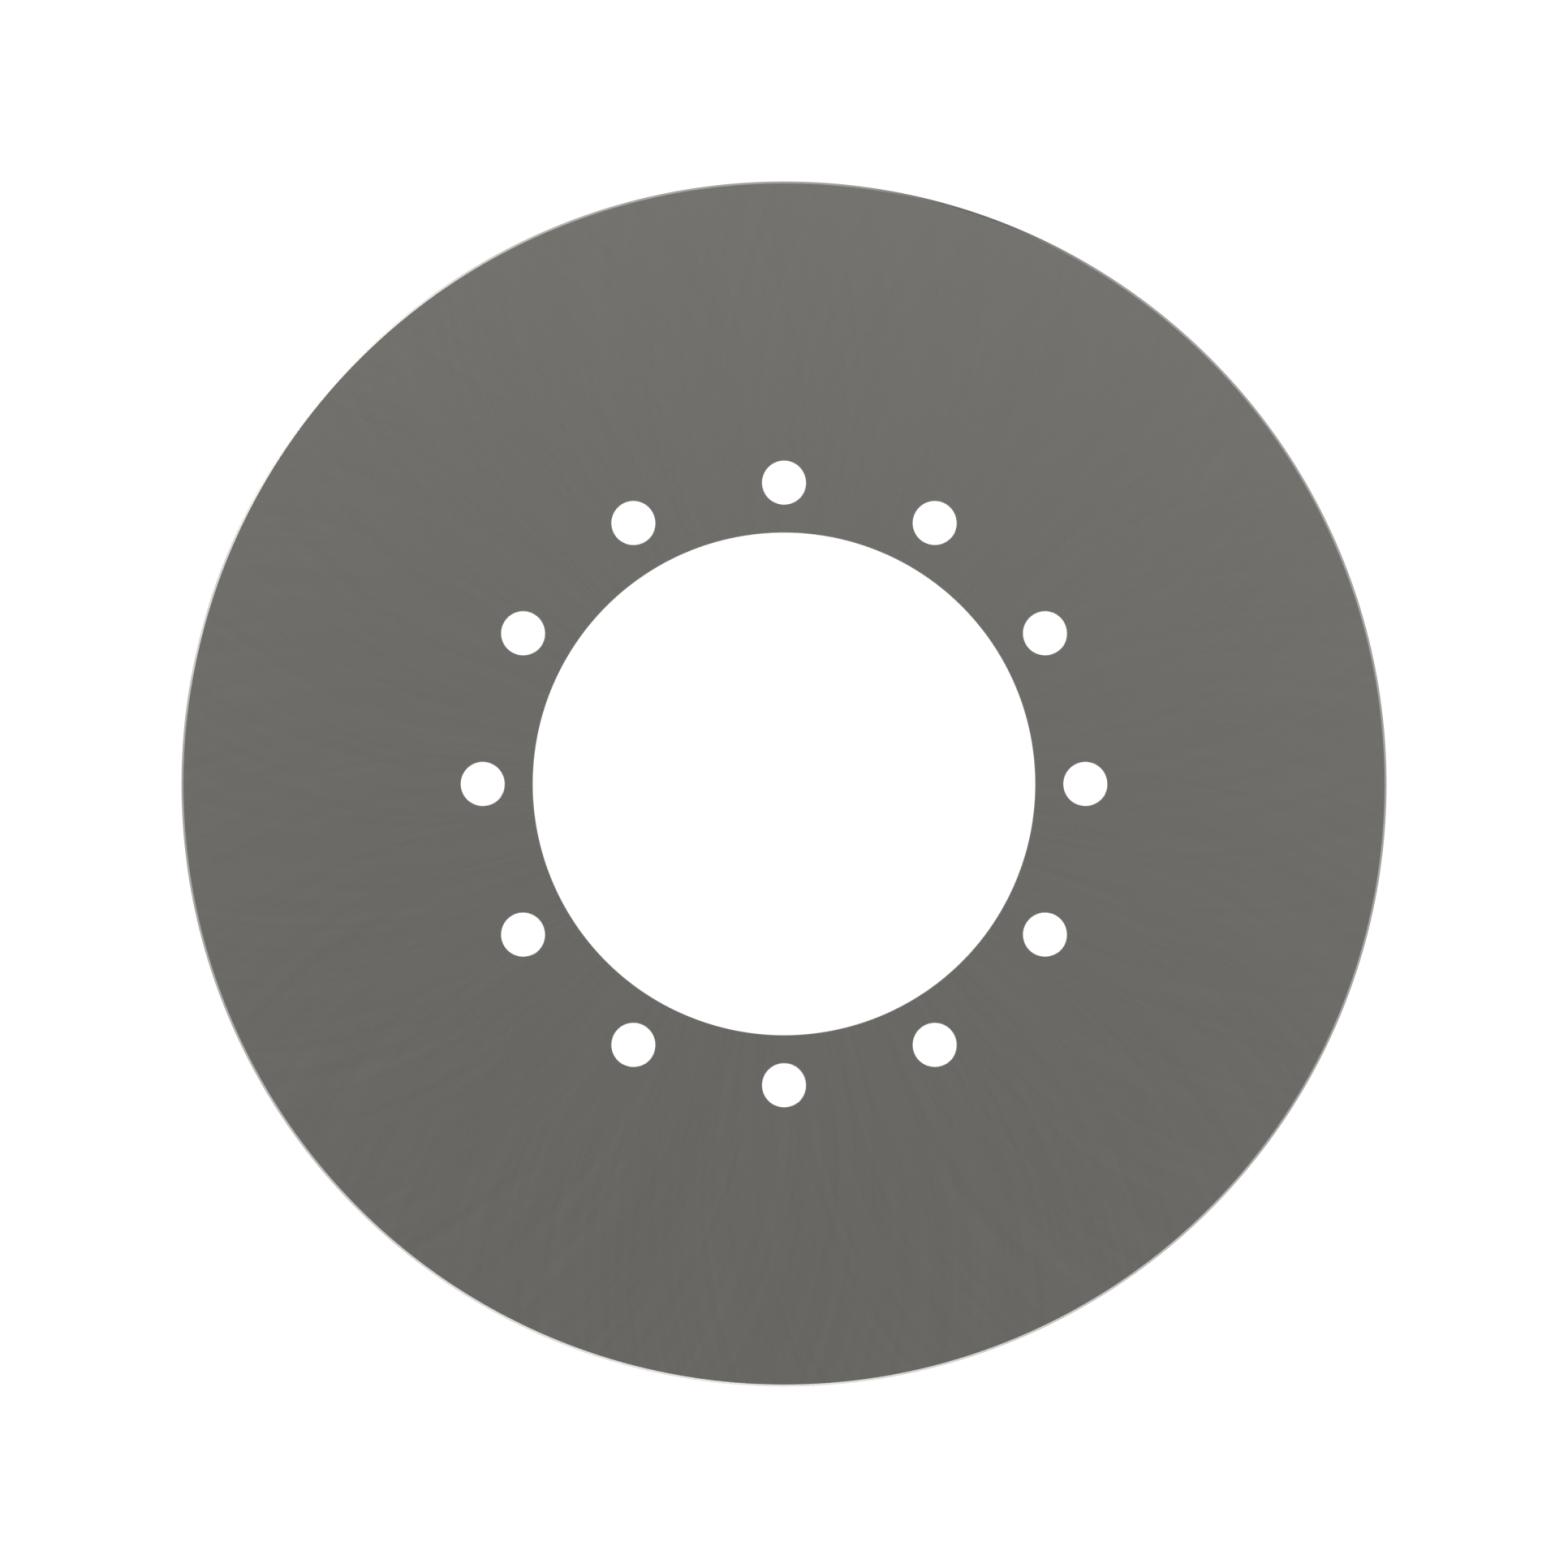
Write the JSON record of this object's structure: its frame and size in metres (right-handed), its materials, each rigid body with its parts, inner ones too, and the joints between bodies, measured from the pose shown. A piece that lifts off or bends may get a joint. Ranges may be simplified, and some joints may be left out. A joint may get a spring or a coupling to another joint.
{
  "type": "brake disc rotor",
  "caption": "Flat ring of ground steel that bolts to a wheel hub through a circle of holes around its bore, for brake pads to grip.",
  "frame": {"origin": "middle of the bore, in the plane of the hub-side face that the disc rests on", "axes": "+Z along the disc's axis, from the hub-side face to the outer face; +X and +Y each run through the middle of a bolt hole"},
  "size_m": [0.24, 0.24, 0.005],
  "materials": {
    "ground_steel": "fine ground faces, turned rim and bevels"
  },
  "bodies": {
    "root": {"rotor_disc": "ground_steel"}
  },
  "joints": []
}
